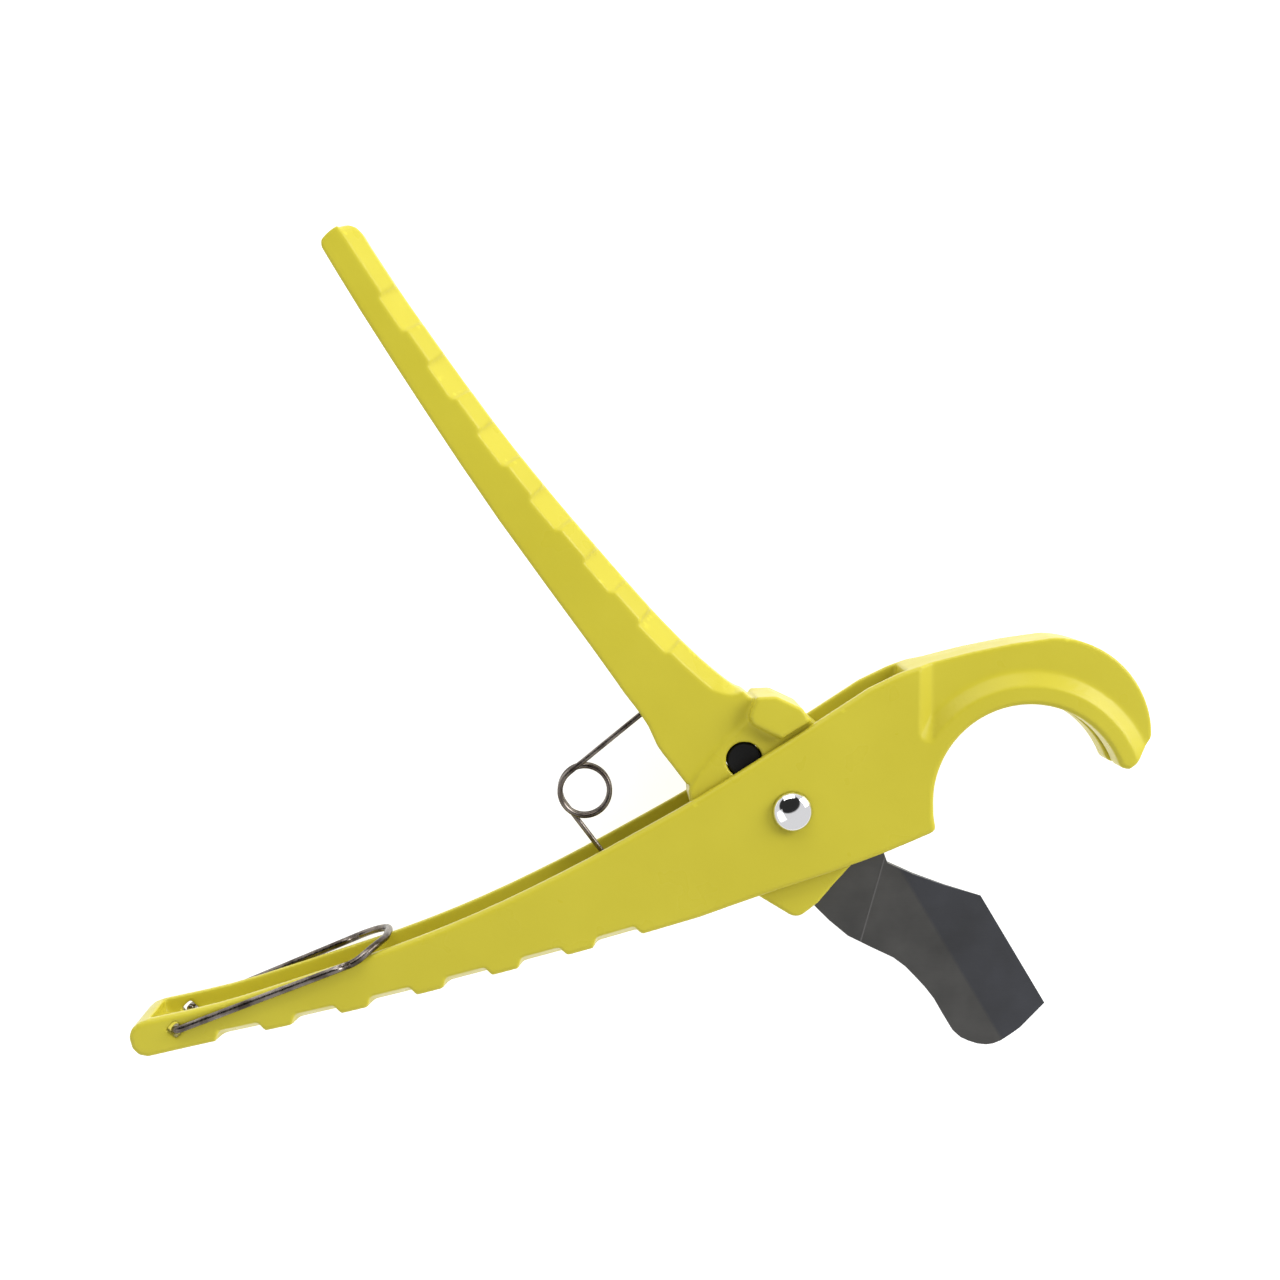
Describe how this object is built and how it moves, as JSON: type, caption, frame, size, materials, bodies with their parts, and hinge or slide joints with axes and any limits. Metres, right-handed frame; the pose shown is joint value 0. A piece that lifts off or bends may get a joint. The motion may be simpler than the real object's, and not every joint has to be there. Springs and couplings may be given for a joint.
{
  "type": "plastic pipe cutter",
  "caption": "One-hand shear cutter for plastic pipe, with a hooked jaw, a blade on a pivoting lever, a return spring and a wire latch.",
  "frame": {"origin": "on the pivot axis, at the flat outer face of the pivot nut's head, which the tool rests on when it lies on its side", "axes": "+Z along the pivot axis from the nut to the domed screw head, +X from the tail of the lower handle towards the jaw, +Y from the body towards the open lever"},
  "size_m": [0.2227, 0.1802, 0.0248],
  "materials": {
    "yellow_paint": "glossy lemon-yellow paint over a die casting",
    "blade_steel": "dark hardened steel, satin, with ground edge faces",
    "chrome": "polished",
    "black_oxide": "black oxide, satin",
    "spring_wire": "drawn spring wire, bright with dark patches",
    "washer_steel": "plain steel"
  },
  "bodies": {
    "body": {"body_casting": "yellow_paint", "pivot_screw": "chrome", "pivot_nut": "chrome", "thrust_washer_upper": "washer_steel", "thrust_washer_lower": "washer_steel"},
    "lever": {"lever_casting": "yellow_paint", "blade": "blade_steel", "blade_pin": "black_oxide"},
    "spring_lower": {"spring_coil": "spring_wire"},
    "spring_upper": {"spring_arm": "spring_wire"},
    "bail": {"bail": "spring_wire"}
  },
  "joints": [
    {"name": "lever_hinge", "type": "hinge", "parent": "body", "child": "lever", "pos_m": [0, 0, 0.012], "axis": [0, 0, 1], "range_deg": [0, 56.5], "stiffness_Nm_per_rad": 0.6, "springref_deg": -45.84},
    {"name": "spring_lower_turn", "type": "hinge", "parent": "body", "child": "spring_lower", "pos_m": [-0.0326, -0.022, 0.012], "axis": [0, 0, 1], "range_deg": [0, 59.5]},
    {"name": "spring_wind", "type": "hinge", "parent": "spring_lower", "child": "spring_upper", "pos_m": [-0.0449, 0.0033, 0.012], "axis": [0, 0, 1], "range_deg": [-79, 0]},
    {"name": "bail_swing", "type": "hinge", "parent": "body", "child": "bail", "pos_m": [-0.1338, -0.0472, 0.012], "axis": [0, 0, 1], "range_deg": [0, 341]}
  ],
  "couplings": [
    {"joint": "spring_lower_turn", "follows": "lever_hinge", "ratio": 1.03},
    {"joint": "spring_wind", "follows": "lever_hinge", "ratio": -1.37}
  ]
}
